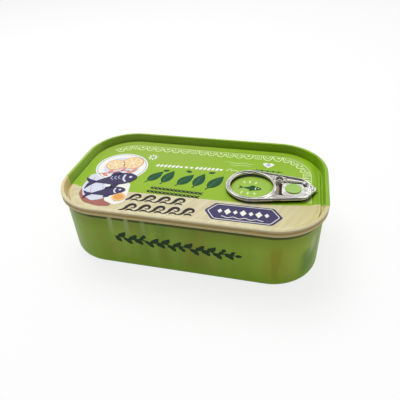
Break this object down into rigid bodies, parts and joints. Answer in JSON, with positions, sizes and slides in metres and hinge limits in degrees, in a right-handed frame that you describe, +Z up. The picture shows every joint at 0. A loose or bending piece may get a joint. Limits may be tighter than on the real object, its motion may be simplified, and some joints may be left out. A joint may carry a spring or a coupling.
{
  "type": "fish tin",
  "caption": "Shut rounded oblong fish tin with a seamed easy-open lid, ring pull and printed coat in green and cream.",
  "frame": {"origin": "under the middle of the tin, on the surface it stands on", "axes": "+X along the tin towards the nose of the ring pull, +Y across the tin to the side away from the cream field, +Z up"},
  "size_m": [0.1044, 0.06, 0.0286],
  "materials": {
    "body_print": "glossy green lacquer over drawn metal",
    "lid_print": "glossy green and cream print over metal",
    "tab_metal": "bright stamped metal"
  },
  "bodies": {
    "root": {"can_body": "body_print", "lid": "lid_print", "ring_tab": "tab_metal"}
  },
  "joints": []
}
